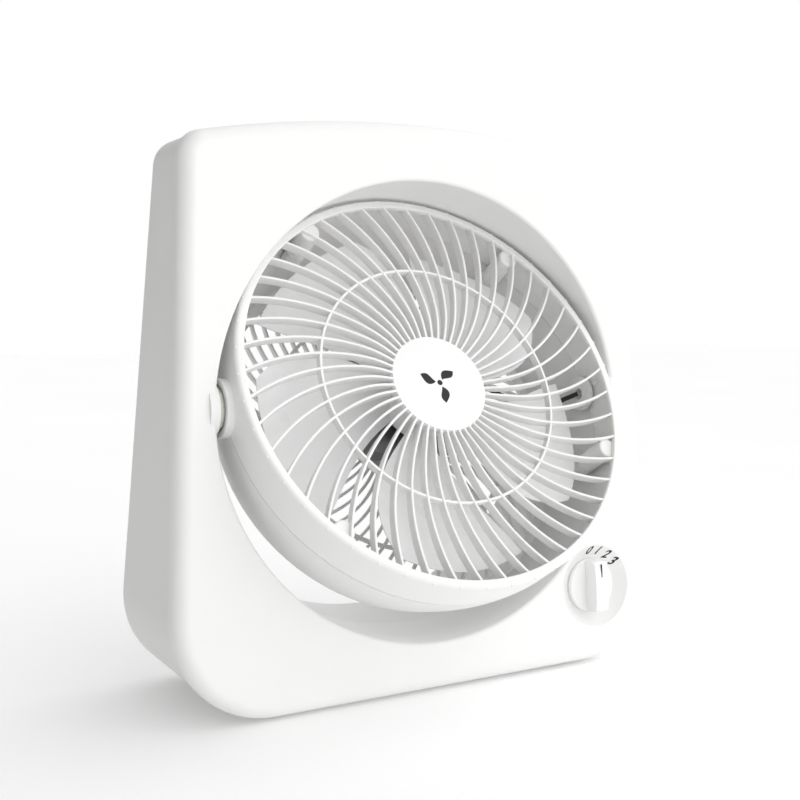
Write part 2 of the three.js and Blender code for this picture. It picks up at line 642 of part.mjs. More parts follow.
function motorBracket() {
  const y0 = GUARD_Y - 5.6;
  const arm = solid(box(-97, 97, y0, y0 + 2.4, -11, 11));
  const lip = solid(box(-97, 97, y0 - 4, y0 + 1, 8.8, 11));
  const lower = solid(box(-97, 97, y0 - 4, y0 + 1, -11, -8.8));
  const centre = solid(box(-33, 33, y0, y0 + 2.4, -17, 17));
  const holes = [-24, 24].map((x) => solid(rod(2.2, 0, 60, 12).translate(x, 0, 0)));
  const ends = [-1, 1].map((side) => solid(rod(1.9, 0, 60, 10)
    .translate(side * BRACKET_SCREW_X, 0, 0)));
  const clear = solid(box(-34, 34, y0 - 6, y0 - 0.001, -20, 20));
  const shaftEnd = solid(rod(8.2, 0, 60, 20));
  return cut(join([arm, lip, lower]).subtract(clear).add(centre), [...holes, ...ends, shaftEnd]);
}

function motorBolt(side) {
  return turned([[0, 11], [2.6, 11], [3.4, 12], [3.4, 13.3], [1.8, 13.3], [1.8, 41], [0, 41]], 10)
    .translate(side * 24, 0, 0);
}

function bracketScrew(side) {
  const y0 = GUARD_Y - 6.4;
  return turned([[0, y0 - 1.8], [2.4, y0 - 1.8], [3.2, y0 - 0.8], [3.2, y0 + 0.6], [1.15, y0 + 0.6],
    [1.15, GUARD_Y - 0.4], [0, GUARD_Y]], 10).translate(side * BRACKET_SCREW_X, 0, 0);
}

// ---------- pivots ----------

function pivotPin() {
  return turned([[3.6, 118.4], [11, 118.4], [11, 121.4], [PIN_RADIUS, 121.4], [PIN_RADIUS, 146],
    [3.6, 146], [3.6, 118.4]], 16);
}

function pivotBush() {
  return turned([[PIN_RADIUS + GAP, 129.9], [12.5, 129.9], [12.5, 131.6], [7.7, 131.6],
    [7.7, 138.4], [PIN_RADIUS + GAP, 138.4], [PIN_RADIUS + GAP, 129.9]], 16);
}

function pivotSpring() {
  return turned([[PIN_RADIUS + GAP, 138.8], [10.5, 139.8], [10.5, 140.8], [PIN_RADIUS + GAP, 139.8],
    [PIN_RADIUS + GAP, 138.8]], 12);
}

function pivotNut() {
  return solid(turned([[0, 141.2], [10.5, 141.2], [10.5, 144.6], [0, 144.6]], 6)).subtract(
    solid(rod(PIN_RADIUS + GAP, 140, 146, 16)));
}

// ---------- leads ----------

function lead(points, radius) {
  const curve = new THREE.CatmullRomCurve3(points.map((p) => new THREE.Vector3(...p)));
  const shape = new THREE.Shape();
  shape.absarc(0, 0, radius, 0, 2 * Math.PI);
  return new THREE.ExtrudeGeometry(shape, {
    steps: 14, curveSegments: 4, extrudePath: curve, bevelEnabled: false,
  });
}

// From the coil along the bracket arm to the hollow right pivot pin.
function motorLead() {
  return lead([[16, 33, 44], [34, 31, 40], [62, 29, 24], [92, 26, 8], [109.4, 17, 1], [113.5, 5, 0],
    [117.6, 0, 0]], 1.5);
}

// From the right pivot pin down inside the housing to the switch.
function switchLead() {
  const z = CENTRE_Z + KNOB_V * Math.cos(LEAN);
  return lead([[147, PIVOT.y, PIVOT.z], [150.4, PIVOT.y + 6, PIVOT.z - 12],
    [152, 22, CENTRE_Z - 50], [150, 22, z + 22], [138, 27, z + 6], [124, 27, z + 3]], 1.5);
}

// ---------- assembly ----------

// A mesh from a geometry or a manifold solid.
function named(name, part, look) {
  let geometry = part;
  if (!part.isBufferGeometry) {
    const { vertProperties, numProp, triVerts } = part.getMesh();
    const xyz = vertProperties.filter((_, i) => i % numProp < 3);
    geometry = new THREE.BufferGeometry();
    geometry.setAttribute('position', new THREE.Float32BufferAttribute(xyz, 3));
    geometry.setIndex(Array.from(triVerts));
  }
  const material = new THREE.MeshStandardMaterial({
    color: look.colour, roughness: look.roughness, metalness: look.metalness,
  });
  const mesh = new THREE.Mesh(geometry, material);
  mesh.name = name;
  return mesh;
}

function housing() {
  const group = new THREE.Group();
  group.add(named('front_panel', frontPanel(), WHITE));
  group.add(named('rear_housing', rearHousing(), WHITE_INNER));
  FEET.forEach((at, i) => {
    group.add(named(`foot_${i + 1}`, atFoot(foot(), at), RUBBER));
  });
  HOUSING_SCREWS.forEach((at, i) => {
    group.add(named(`housing_screw_${i + 1}`, atScrew(housingScrew(), at), STEEL));
  });
  group.add(named('cord_gland', gland(), NYLON));
  group.add(named('switch_lead', switchLead(), BLACK));
  return group;
}

// The knob and switch, in the frame of the front face.
function control() {
  const group = new THREE.Group();
  group.position.set(KNOB_X, KNOB_V * Math.sin(LEAN), CENTRE_Z + KNOB_V * Math.cos(LEAN));
  group.rotation.x = -LEAN;
  group.add(named('knob', knob(), WHITE));
  group.add(named('switch_shaft', switchShaft(), NYLON));
  group.add(named('switch_body', switchBody(), BLACK));
  group.add(named('switch_nut', switchNut(), STEEL));
  return group;
}

// The tilting drum with the fan and motor inside it, tilted up.
function head() {
  const group = new THREE.Group();
  group.position.copy(PIVOT);
  group.rotation.x = -LEAN - TILT;
  group.add(named('front_grille', frontGrille(), WHITE));
  group.add(named('centre_badge', badge(), WHITE));
  group.add(named('rear_grille', rearGrille(), WHITE_INNER));
  LUG_ANGLES.forEach((angle, i) => {
    group.add(named(`grille_screw_${i + 1}`, lugScrew(angle), STEEL));
  });
  group.add(named('fan_blade', fanBlade(), BLADE_GREY));
  group.add(named('blade_nut', bladeNut(), WHITE_INNER));
  group.add(named('motor_shaft', motorShaft(), STEEL));
  group.add(named('motor_core', motorCore(), DARK_STEEL));
  group.add(named('motor_coil', motorCoil(), COPPER));
  group.add(named('motor_end_front', motorEnd(CORE_Y - 4.4), STEEL));
  group.add(named('motor_end_rear', motorEnd(CORE_Y + CORE_DEPTH + 1.6), STEEL));
  group.add(named('motor_bracket', motorBracket(), WHITE_INNER));
  group.add(named('motor_lead', motorLead(), BLACK));
  SIDES.forEach(([name, side]) => {
    group.add(named(`motor_bolt_${name}`, motorBolt(side), STEEL));
    group.add(named(`bracket_screw_${name}`, bracketScrew(side), STEEL));
    const axle = new THREE.Group();
    axle.rotation.z = -side * Math.PI / 2;
    axle.add(named(`pivot_pin_${name}`, pivotPin(), WHITE_INNER));
    axle.add(named(`pivot_nut_${name}`, pivotNut(), STEEL));
    group.add(axle);
  });
  return group;
}

// The bushes and spring washers stay with the housing.
function pivotSeat([name, side]) {
  const group = new THREE.Group();
  group.position.copy(PIVOT);
  group.rotation.z = -side * Math.PI / 2;
  group.add(named(`pivot_bush_${name}`, pivotBush(), NYLON));
  group.add(named(`pivot_spring_${name}`, pivotSpring(), STEEL));
  return group;
}

const fan = new THREE.Group();
fan.name = 'box_fan';
const stand = new THREE.Group();
stand.add(housing(), control(), head(), ...SIDES.map(pivotSeat));
const middle = new THREE.Box3().setFromObject(stand, true).getCenter(new THREE.Vector3());
stand.position.y = -middle.y;
fan.add(stand);

export default fan;
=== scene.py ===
"""Looks of the tilting drum fan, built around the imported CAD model.

Shapes are made in millimetres in their own frames (X right, Y into the fan, Z up) and brought to
the shared frame, in metres, when they become pieces.
"""

import json
import math

import bmesh
import bpy
from mathutils import Matrix, Vector


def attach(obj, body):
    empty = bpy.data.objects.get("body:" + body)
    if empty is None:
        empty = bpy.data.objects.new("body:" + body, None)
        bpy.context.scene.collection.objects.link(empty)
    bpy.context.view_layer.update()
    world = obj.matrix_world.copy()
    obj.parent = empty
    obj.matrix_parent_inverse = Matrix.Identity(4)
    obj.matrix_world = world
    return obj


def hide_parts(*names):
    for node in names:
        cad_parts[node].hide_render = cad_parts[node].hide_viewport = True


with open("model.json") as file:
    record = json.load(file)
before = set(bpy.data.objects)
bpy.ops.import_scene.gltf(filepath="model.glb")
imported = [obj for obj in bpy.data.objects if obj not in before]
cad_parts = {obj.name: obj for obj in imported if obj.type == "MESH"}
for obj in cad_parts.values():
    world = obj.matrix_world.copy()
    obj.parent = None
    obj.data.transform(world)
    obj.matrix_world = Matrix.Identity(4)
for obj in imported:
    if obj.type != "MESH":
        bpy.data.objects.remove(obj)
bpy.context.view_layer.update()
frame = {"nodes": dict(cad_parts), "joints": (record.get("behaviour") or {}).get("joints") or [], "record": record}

# A millimetre in metres, the gap between pieces that meet, and segments round large turned shapes.
MM = 0.001
GAP = 0.3
FINE = 160
DRUM_SEGMENTS = 240
RING_SEGMENTS = 192

# Faces that meet at more than this angle keep a sharp edge.
SHARP_ANGLE = math.radians(32)
CAD_SHARP_ANGLE = math.radians(40)

# Housing: v is the distance up the leaning front face from the centre of its round opening.
REAR_LEAN = math.radians(5.2)
REAR_DEPTH = 86
BOTTOM_V = -163.3
TOP_V = 168.9
ARCH_RADIUS = 700
HALF_WIDTH = 156.3
SIDE_TAPER = 0.059
BOTTOM_CORNER = 56
TOP_CORNER = 16
WALL = 2.4
EDGE_RADIUS = 8.8
SEAM_DEPTH = 11
SEAM_STEP = 1.2
REAR_EDGE_RADIUS = 11
HOUSING_SCREWS = [(-128, 128), (128, 128), (-141, -72), (141, -72)]
POST_END_DEPTH = 30
POST_RADIUS = 6.2
WELL_RADIUS = 4.6
GLAND = (-105, -128)

# Round tunnel through the housing.
OPENING_RADIUS = 135
OPENING_LIP = 2
COLLAR_BULGE_DEPTH = 24
COLLAR_BULGE_RADIUS = 134.3
COLLAR_DEPTH = 52.2
COLLAR_END_RADIUS = 131
TUNNEL_END_DEPTH = 112
TUNNEL_END_RADIUS = 126.3

# Drum.
RIM_Y = -25.9
RIM_RADIUS = 125
RIM_INNER_RADIUS = 119.7
PARTING_RADIUS = 126
DRUM_FALL = 9
DRUM_BACK_Y = 46
DRUM_BACK_RADIUS = 112
DRUM_WALL = 2.3
LUG_ANGLES = [48, 120, 225, 336]
LUG_RADIUS = 117.4
LUG_SIZE = 6.2

# Front grille.
RIB_COUNT = 48
RIB_FRONT_Y = RIM_Y + 0.4
RIB_BACK_Y = RIM_Y + 7
RIB_THICKNESS = 1.5
RIB_BEND_RADIUS = 119
RIB_BEND = math.radians(48.5)
RIB_STEPS = 20
GRILLE_RING_RADIUS = 75
GRILLE_HUB_RADIUS = 29.5
HUB_FRONT_Y = RIM_Y + 3.6
HUB_BACK_Y = RIM_Y + 9
BADGE_RADIUS = 30.5
BADGE_DEPTH = 1
DIP_RADIUS = 45

# Fan pictogram on the badge.
MARK_LEAVES = 3
MARK_START = 2.6
MARK_LENGTH = 10.4
MARK_STEPS = 14

# Rear guard.
BAR_COUNT = 60
BAR_THICKNESS = 1.7
BAR_BEND_RADIUS = 70
BAR_BEND = math.radians(76)
BAR_STEPS = 18
GUARD_Y = 42
GUARD_DEPTH = 4
GUARD_HUB_RADIUS = 32
GUARD_RING_RADIUS = 78
BRACKET_SCREW_X = 90
BRACKET_FRONT_Y = GUARD_Y - 5.6
BRACKET_THICKNESS = 2.4

# Fan.
BLADE_COUNT = 5
BLADE_START = 35
HUB_RADIUS = 22
TIP_RADIUS = 107
SHAFT_RADIUS = 3
BLADE_THICKNESS = 1.8
BLADE_STEPS = 28

# Pivots.
BOSS_RADIUS = 16.5
BOSS_X = 129.5
PIN_RADIUS = 6
FRONT_BOSS_X = 123.4
BACK_BOSS_X = 122.4
PAD_START_X = 132.8
PAD_END_X = 138.5

# Knob.
KNOB_X = 114.5
KNOB_V = -115.7
DISH_RADIUS = 25.9
DISH_FLOOR_RADIUS = 18
DISH_DEPTH = 7
KNOB_RADIUS = 17
KNOB_FACE_Y = 3.6
GRIP_TOP_Y = -6.6
GRIP_WIDTH = 9.7
DIGIT_RADIUS = 22
DIGIT_ANGLES = [93, 75, 56, 38]
DIGIT_SIZE = 7.4
DIGIT_SLANT = 0.28

# Camera and studio, in metres.
CAMERA_PLACE = (-0.3536, -0.5947, 0.2205)
CAMERA_FORWARD = (0.4974, 0.8645, -0.0730)
CAMERA_RIGHT = (0.8668, -0.4987, 0.0010)
CAMERA_LENS = 51.9
CAMERA_SENSOR = 36
FLOOR_SIZE = 6
FLOOR_GLOW = 0.15
KEY_PLACE = (0.3, -2.2, 0.7)
KEY_AIM = (0, 0, 0.17)
KEY_SIZE = 1.2
KEY_POWER = 4

# Brightness from all round: its mean, how it grows along X, Y and Z, and the least it falls to.
STUDIO_MEAN = 0.85
STUDIO_SLOPE = (0.95, -0.3, 0.1)
STUDIO_LEAST = 0.05


# ---------- places ----------

def place_at(origin, front):
    """Millimetre frame at a point, with its Y axis pointing back from the front direction."""
    y = -Vector(front).normalized()
    x = Vector((1, 0, 0))
    axes = Matrix((x, y, x.cross(y))).transposed()
    return Matrix.Translation(Vector(origin) / MM) @ axes.to_4x4()


JOINTS = {joint["name"]: joint for joint in frame["joints"]}
KNOB = place_at(JOINTS["knob_turn"]["pos_m"], JOINTS["knob_turn"]["axis"])
DRUM = place_at(JOINTS["head_tilt"]["pos_m"], JOINTS["fan_spin"]["axis"])
PANEL = KNOB @ Matrix.Translation((-KNOB_X, 0, -KNOB_V))
HERE = Matrix.Identity(4)


def beside_pivot(side):
    """From a frame with Y along the pivot axis, outwards, to the drum's frame."""
    return Matrix.Rotation(-side * math.pi / 2, 4, "Z")


def turned_to(degrees):
    """Turn about the fan axis, anticlockwise as seen from the front."""
    return Matrix.Rotation(-math.radians(degrees), 4, "Y")


def behind_face(x, v):
    """Frame at a point on the leaning front face, with Y straight back."""
    return Matrix.Translation(PANEL @ Vector((x, 0, v)))


# ---------- outlines ----------

def arc(cx, cy, radius, start, end, steps):
    points = []
    for i in range(steps + 1):
        angle = start + (end - start) * i / steps
        points.append((cx + radius * math.cos(angle), cy + radius * math.sin(angle)))
    return points


def rounded(corners, steps=5):
    """Closed outline from (x, y, radius) corners, each rounded by its radius."""
    points = []
    for i, (x, y, radius) in enumerate(corners):
        if radius == 0:
            points.append((x, y))
            continue
        here = Vector((x, y))
        before = (Vector(corners[i - 1][:2]) - here).normalized()
        after = (Vector(corners[(i + 1) % len(corners)][:2]) - here).normalized()
        half = before.angle(after) / 2
        centre = here + (before + after).normalized() * radius / math.sin(half)
        first = here + before * radius / math.tan(half) - centre
        last = here + after * radius / math.tan(half) - centre
        start = math.atan2(first.y, first.x)
        swing = math.atan2(last.y, last.x) - start
        swing = (swing + math.pi) % (2 * math.pi) - math.pi
        points += arc(centre.x, centre.y, radius, start, start + swing, steps)
    return points


def housing_outline(inset):
    """Front outline of the housing as (x, v) pairs, moved inwards by inset."""
    slope = math.atan(SIDE_TAPER)

    def side_x(v):
        return HALF_WIDTH - SIDE_TAPER * v - inset / math.cos(slope)

    bottom_radius = BOTTOM_CORNER - inset
    bottom_v = BOTTOM_V + inset + bottom_radius
    bottom_x = side_x(bottom_v) - bottom_radius / math.cos(slope)
    half = arc(bottom_x, bottom_v, bottom_radius, -math.pi / 2, slope, 24)
    arch_v = TOP_V - ARCH_RADIUS
    arch_radius = ARCH_RADIUS - inset
    top_radius = TOP_CORNER - inset
    low, high = 0, TOP_V
    while high - low > 1e-6:
        middle = (low + high) / 2
        reach = math.hypot(side_x(middle) - top_radius / math.cos(slope), middle - arch_v)
        low, high = (middle, high) if reach < arch_radius - top_radius else (low, middle)
    top_x = side_x(low) - top_radius / math.cos(slope)
    meet = math.atan2(low - arch_v, top_x)
    half += arc(top_x, low, top_radius, slope, meet, 12)
    half += arc(0, arch_v, arch_radius, meet, math.pi / 2, 16)[1:-1]
    return half + [(0, TOP_V - inset)] + [(-x, v) for x, v in reversed(half)]


def front_outline(inset, depth):
    """Outline at a depth behind the leaning front face, in the shared frame in millimetres."""
    return [PANEL @ Vector((x, 0, v)) + Vector((0, depth, 0)) for x, v in housing_outline(inset)]


def rear_outline(inset, forward):
    """Outline at a distance in front of the leaning back face."""
    centre = PANEL.translation
    points = []
    for x, v in housing_outline(inset):
        z = (PANEL @ Vector((x, 0, v))).z - centre.z
        points.append((x, centre.y + REAR_DEPTH - z * math.tan(REAR_LEAN) - forward, centre.z + z))
    return points


def quarter(steps):
    return [i / steps * math.pi / 2 for i in range(steps + 1)]


# ---------- shapes ----------

def loft(outlines):
    """Closed solid skinned over a row of matching closed outlines."""
    bm = bmesh.new()
    rows = [[bm.verts.new(p) for p in row] for row in outlines]
    count = len(rows[0])
    for low, high in zip(rows, rows[1:]):
        for i in range(count):
            j = (i + 1) % count
            bm.faces.new((low[i], low[j], high[j], high[i]))
    bm.faces.new(rows[0][::-1])
    bm.faces.new(rows[-1])
    bmesh.ops.recalc_face_normals(bm, faces=bm.faces)
    return bm


def turned(profile, segments=FINE):
    """Closed solid of revolution about Y from (radius, y) points; it closes on itself or on the axis."""
    bm = bmesh.new()
    rows = []
    for radius, y in profile:
        angles = [2 * math.pi * i / segments for i in range(segments)] if radius > 1e-6 else [0]
        rows.append([bm.verts.new((radius * math.cos(a), y, radius * math.sin(a))) for a in angles])
    pairs = list(zip(rows, rows[1:]))
    if profile[0][0] > 1e-6:
        pairs.append((rows[-1], rows[0]))
    for low, high in pairs:
        for i in range(segments):
            j = i + 1
            corners = (low[i % len(low)], low[j % len(low)], high[j % len(high)], high[i % len(high)])
            distinct = list(dict.fromkeys(corners))
            if len(distinct) > 2:
                bm.faces.new(distinct)
    bmesh.ops.recalc_face_normals(bm, faces=bm.faces)
    return bm


def part_turned(profile, start, end, steps=32):
    """A closed sector of a turned ring, between two angles about Y."""
    rows = []
    for i in range(steps + 1):
        angle = start + (end - start) * i / steps
        rows.append([(r * math.cos(angle), y, r * math.sin(angle)) for r, y in profile])
    return loft(rows)


def prism(outline, y0, y1, rounding):
    """Solid with an (x, z) outline between two depths, with rounded edges."""
    bm = loft([[(x, y, z) for x, z in outline] for y in (y0, y1)])
    bmesh.ops.bevel(bm, geom=bm.edges[:], offset=rounding, segments=3, profile=0.5, affect="EDGES",
                    clamp_overlap=True)
    return bm


def block(x0, x1, y0, y1, z0, z1, rounding=0.4):
    return prism([(x0, z0), (x1, z0), (x1, z1), (x0, z1)], y0, y1, rounding)


def moved(bm, *places):
    for place in places:
        bm.transform(place)
    return bm


def together(shapes):
    """One mesh that holds several closed shapes."""
    whole = bmesh.new()
    for bm in shapes:
        mesh = bpy.data.meshes.new("part")
        bm.to_mesh(mesh)
        bm.free()
        whole.from_mesh(mesh)
        bpy.data.meshes.remove(mesh)
    return whole


def around_axis(bm, count, start=0):
    """Copies of a shape at equal angles about the fan axis."""
    copies = []
    for i in range(count):
        copy = bm.copy()
        copy.transform(turned_to(start + i * 360 / count))
        copies.append(copy)
    bm.free()
    return together(copies)


def linked(name, data):
    """A new object in the scene."""
    obj = bpy.data.objects.new(name, data)
    bpy.context.scene.collection.objects.link(obj)
    return obj


def loose_object(bm):
    mesh = bpy.data.meshes.new("shape")
    bm.to_mesh(mesh)
    bm.free()
    return linked("shape", mesh)


def carved(base, steps):
    """The base after a row of (UNION, DIFFERENCE or INTERSECT, shape) steps."""
    body = loose_object(base)
    tools = []
    for operation, shape in steps:
        tool = loose_object(shape)
        modifier = body.modifiers.new(operation, "BOOLEAN")
        modifier.operation = operation
        modifier.solver = "EXACT"
        modifier.object = tool
        tools.append(tool)
    graph = bpy.context.evaluated_depsgraph_get()
    mesh = bpy.data.meshes.new_from_object(body.evaluated_get(graph))
    result = bmesh.new()
    result.from_mesh(mesh)
    for used in [body, *tools]:
        bpy.data.objects.remove(used)
    return result


def piece(name, shape, place, body, material, replaces=()):
    """Makes a shown piece from a shape, on a CAD body."""
    shape.transform(Matrix.Scale(MM, 4) @ place)
    mesh = bpy.data.meshes.new(name)
    shape.to_mesh(mesh)
    shape.free()
    mesh.polygons.foreach_set("use_smooth", [True] * len(mesh.polygons))
    mesh.set_sharp_from_angle(angle=SHARP_ANGLE)
    mesh.materials.append(material)
    obj = linked(name, mesh)
    normals = obj.modifiers.new("Normals", "WEIGHTED_NORMAL")
    normals.keep_sharp = True
    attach(obj, body)
    if replaces:
        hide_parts(*replaces)


# ---------- materials ----------

def new_material(name):
    """A material with its node tree, its shader and a coordinate output in metres."""
    material = bpy.data.materials.new(name)
    material.use_nodes = True
    tree = material.node_tree
    shader = tree.nodes["Principled BSDF"]
    where = tree.nodes.new("ShaderNodeTexCoord").outputs["Object"]
    return material, tree, shader, where


def noise(tree, where, scale, detail=3):
    node = tree.nodes.new("ShaderNodeTexNoise")
    node.inputs["Scale"].default_value = scale
    node.inputs["Detail"].default_value = detail
    tree.links.new(where, node.inputs["Vector"])
    return node.outputs["Fac"]


def blended(tree, share, dark, light):
    """Colour between two, by a share from 0 to 1."""
    ramp = tree.nodes.new("ShaderNodeValToRGB")
    ramp.color_ramp.elements[0].color = (*dark, 1)
    ramp.color_ramp.elements[1].color = (*light, 1)
    ramp.color_ramp.elements[0].position = 0.3
    ramp.color_ramp.elements[1].position = 0.7
    tree.links.new(share, ramp.inputs["Fac"])
    return ramp.outputs["Color"]


def ranged(tree, share, low, high):
    node = tree.nodes.new("ShaderNodeMapRange")
    node.inputs["From Min"].default_value = 0.3
    node.inputs["From Max"].default_value = 0.7
    node.inputs["To Min"].default_value = low
    node.inputs["To Max"].default_value = high
    tree.links.new(share, node.inputs["Value"])
    return node.outputs["Result"]


def calculated(tree, operation, source, value):
    node = tree.nodes.new("ShaderNodeMath")
    node.operation = operation
    node.inputs[1].default_value = value
    tree.links.new(source, node.inputs[0])
    return node.outputs["Value"]


def along(tree, source, direction):
    """Length of a vector along a direction."""
    node = tree.nodes.new("ShaderNodeVectorMath")
    node.operation = "DOT_PRODUCT"
    node.inputs[1].default_value = direction
    tree.links.new(source, node.inputs[0])
    return node.outputs["Value"]


def bumped(tree, shader, height, depth):
    node = tree.nodes.new("ShaderNodeBump")
    node.inputs["Distance"].default_value = depth
    node.inputs["Strength"].default_value = 0.6
    tree.links.new(height, node.inputs["Height"])
    tree.links.new(node.outputs["Normal"], shader.inputs["Normal"])


def moulded(name, colour, roughness, grain=2600, depth=0.000012, specular=0.4):
    """Moulded plastic or rubber: faint flow marks in colour and gloss over a fine grain."""
    material, tree, shader, where = new_material(name)
    flow = noise(tree, where, 26)
    dark = [c * 0.985 for c in colour]
    tree.links.new(blended(tree, flow, dark, colour), shader.inputs["Base Color"])
    tree.links.new(ranged(tree, flow, roughness - 0.04, roughness + 0.05), shader.inputs["Roughness"])
    bumped(tree, shader, noise(tree, where, grain, 2), depth)
    shader.inputs["Specular IOR Level"].default_value = specular
    return material


def metal(name, colour, roughness, grain=900):
    """Plated or drawn metal with fine scratches and uneven gloss."""
    material, tree, shader, where = new_material(name)
    stretch = tree.nodes.new("ShaderNodeMapping")
    stretch.inputs["Scale"].default_value = (1, 0.12, 1)
    tree.links.new(where, stretch.inputs["Vector"])
    streaks = noise(tree, stretch.outputs["Vector"], grain)
    dark = [c * 0.8 for c in colour]
    tree.links.new(blended(tree, streaks, dark, colour), shader.inputs["Base Color"])
    tree.links.new(ranged(tree, streaks, roughness - 0.08, roughness + 0.1), shader.inputs["Roughness"])
    bumped(tree, shader, streaks, 0.00001)
    shader.inputs["Metallic"].default_value = 1
    return material


def layered(name, dark, light, direction, pitch, roughness, metallic):
    """Bands at a pitch across a direction, as in wound wire or stacked sheets."""
    material, tree, shader, where = new_material(name)
    wave = calculated(tree, "PINGPONG", along(tree, where, direction), pitch / 2)
    share = calculated(tree, "MULTIPLY", wave, 2 / pitch)
    tree.links.new(blended(tree, share, dark, light), shader.inputs["Base Color"])
    bumped(tree, shader, share, pitch / 3)
    tree.links.new(ranged(tree, noise(tree, where, 300), roughness - 0.06, roughness + 0.08),
                   shader.inputs["Roughness"])
    shader.inputs["Metallic"].default_value = metallic
    return material


FAN_AXIS = DRUM.to_3x3() @ Vector((0, 1, 0))
UP_AXIS = DRUM.to_3x3() @ Vector((0, 0, 1))

SHELL_WHITE = moulded("shell_white", (0.88, 0.88, 0.87), 0.42)
REAR_WHITE = moulded("rear_white", (0.86, 0.86, 0.85), 0.5)
GRILLE_WHITE = moulded("grille_white", (0.89, 0.89, 0.88), 0.36, 1800)
GUARD_WHITE = moulded("guard_white", (0.87, 0.87, 0.865), 0.42, 1800)
BADGE_WHITE = moulded("badge_white", (0.89, 0.89, 0.89), 0.3, 1400)
BLADE_WHITE = moulded("blade_white", (0.88, 0.88, 0.88), 0.3, 1200, 0.000008)
KNOB_WHITE = moulded("knob_white", (0.89, 0.89, 0.885), 0.34)
NYLON = moulded("nylon_natural", (0.72, 0.70, 0.64), 0.5)
BLACK = moulded("black_plastic", (0.025, 0.025, 0.027), 0.5)
INK = moulded("print_black", (0.012, 0.012, 0.013), 0.55, 5000, 0.000004)
SHEATH = moulded("lead_sheath", (0.03, 0.03, 0.032), 0.6, 700, 0.00003)
RUBBER = moulded("foot_rubber", (0.12, 0.12, 0.125), 0.8, 1500, 0.00004, 0.2)
ZINC = metal("zinc_plated", (0.62, 0.63, 0.66), 0.34)
SHAFT_STEEL = metal("ground_steel", (0.66, 0.66, 0.68), 0.22, 1600)
LAMINATION = layered("lamination", (0.16, 0.16, 0.17), (0.36, 0.37, 0.39), FAN_AXIS, 0.0007, 0.45, 1)
WINDING = layered("winding", (0.30, 0.10, 0.03), (0.72, 0.32, 0.12), UP_AXIS, 0.0006, 0.35, 0.7)

SLOT_MATERIALS = {
    "front_shell": SHELL_WHITE, "rear_shell": REAR_WHITE, "grille_plastic": GRILLE_WHITE,
    "guard_plastic": GUARD_WHITE, "badge_plastic": BADGE_WHITE, "blade_plastic": BLADE_WHITE,
    "knob_plastic": KNOB_WHITE, "nylon": NYLON, "black_plastic": BLACK, "lead_sheath": SHEATH,
    "foot_rubber": RUBBER, "zinc_steel": ZINC, "shaft_steel": SHAFT_STEEL,
    "lamination_steel": LAMINATION, "copper_winding": WINDING,
}


def dress_cad_nodes():
    """Gives every CAD node the procedural material of its own material slot."""
    for entry in frame["record"]["subparts"]:
        mesh = frame["nodes"][entry["node"]].data
        mesh.materials.clear()
        mesh.materials.append(SLOT_MATERIALS[entry["material_slot"]])
        mesh.polygons.foreach_set("use_smooth", [True] * len(mesh.polygons))
        mesh.set_sharp_from_angle(angle=CAD_SHARP_ANGLE)


# ---------- housing ----------

def front_block(thickness, depth):
    radius = EDGE_RADIUS - thickness
    rows = [front_outline(thickness + radius * (1 - math.sin(a)), thickness + radius * (1 - math.cos(a)))
            for a in quarter(10)]
    return loft(rows + [front_outline(thickness, depth)])


def rear_block(thickness, depth):
    radius = REAR_EDGE_RADIUS - thickness
    inset = SEAM_STEP + thickness
    rows = [rear_outline(inset + radius * (1 - math.cos(a)), thickness + radius * (1 - math.sin(a)))
            for a in quarter(10)]
    return loft([front_outline(inset, depth)] + rows)


def collar_radius(depth):
    """Inner radius of the tunnel at a depth behind the front face."""
    if depth < COLLAR_DEPTH:
        share = (depth - OPENING_LIP) / (COLLAR_DEPTH - OPENING_LIP)
        middle = (COLLAR_BULGE_DEPTH - OPENING_LIP) / (COLLAR_DEPTH - OPENING_LIP)
        straight = OPENING_RADIUS + (COLLAR_END_RADIUS - OPENING_RADIUS) * share
        bulge = COLLAR_BULGE_RADIUS - OPENING_RADIUS - (COLLAR_END_RADIUS - OPENING_RADIUS) * middle
        return straight + bulge * share * (1 - share) / (middle * (1 - middle))
    share = (depth - COLLAR_DEPTH) / (TUNNEL_END_DEPTH - COLLAR_DEPTH)
    return COLLAR_END_RADIUS + (TUNNEL_END_RADIUS - COLLAR_END_RADIUS) * share


def collar_depths():
    return [OPENING_LIP + (COLLAR_DEPTH - OPENING_LIP) * i / 12 for i in range(13)]


def dish_depth(radius):
    """Depth of the knob's dish at a radius."""
    share = max(0, min(1, (radius - DISH_FLOOR_RADIUS) / (DISH_RADIUS - DISH_FLOOR_RADIUS)))
    return DISH_DEPTH * (1 - share ** 1.6)


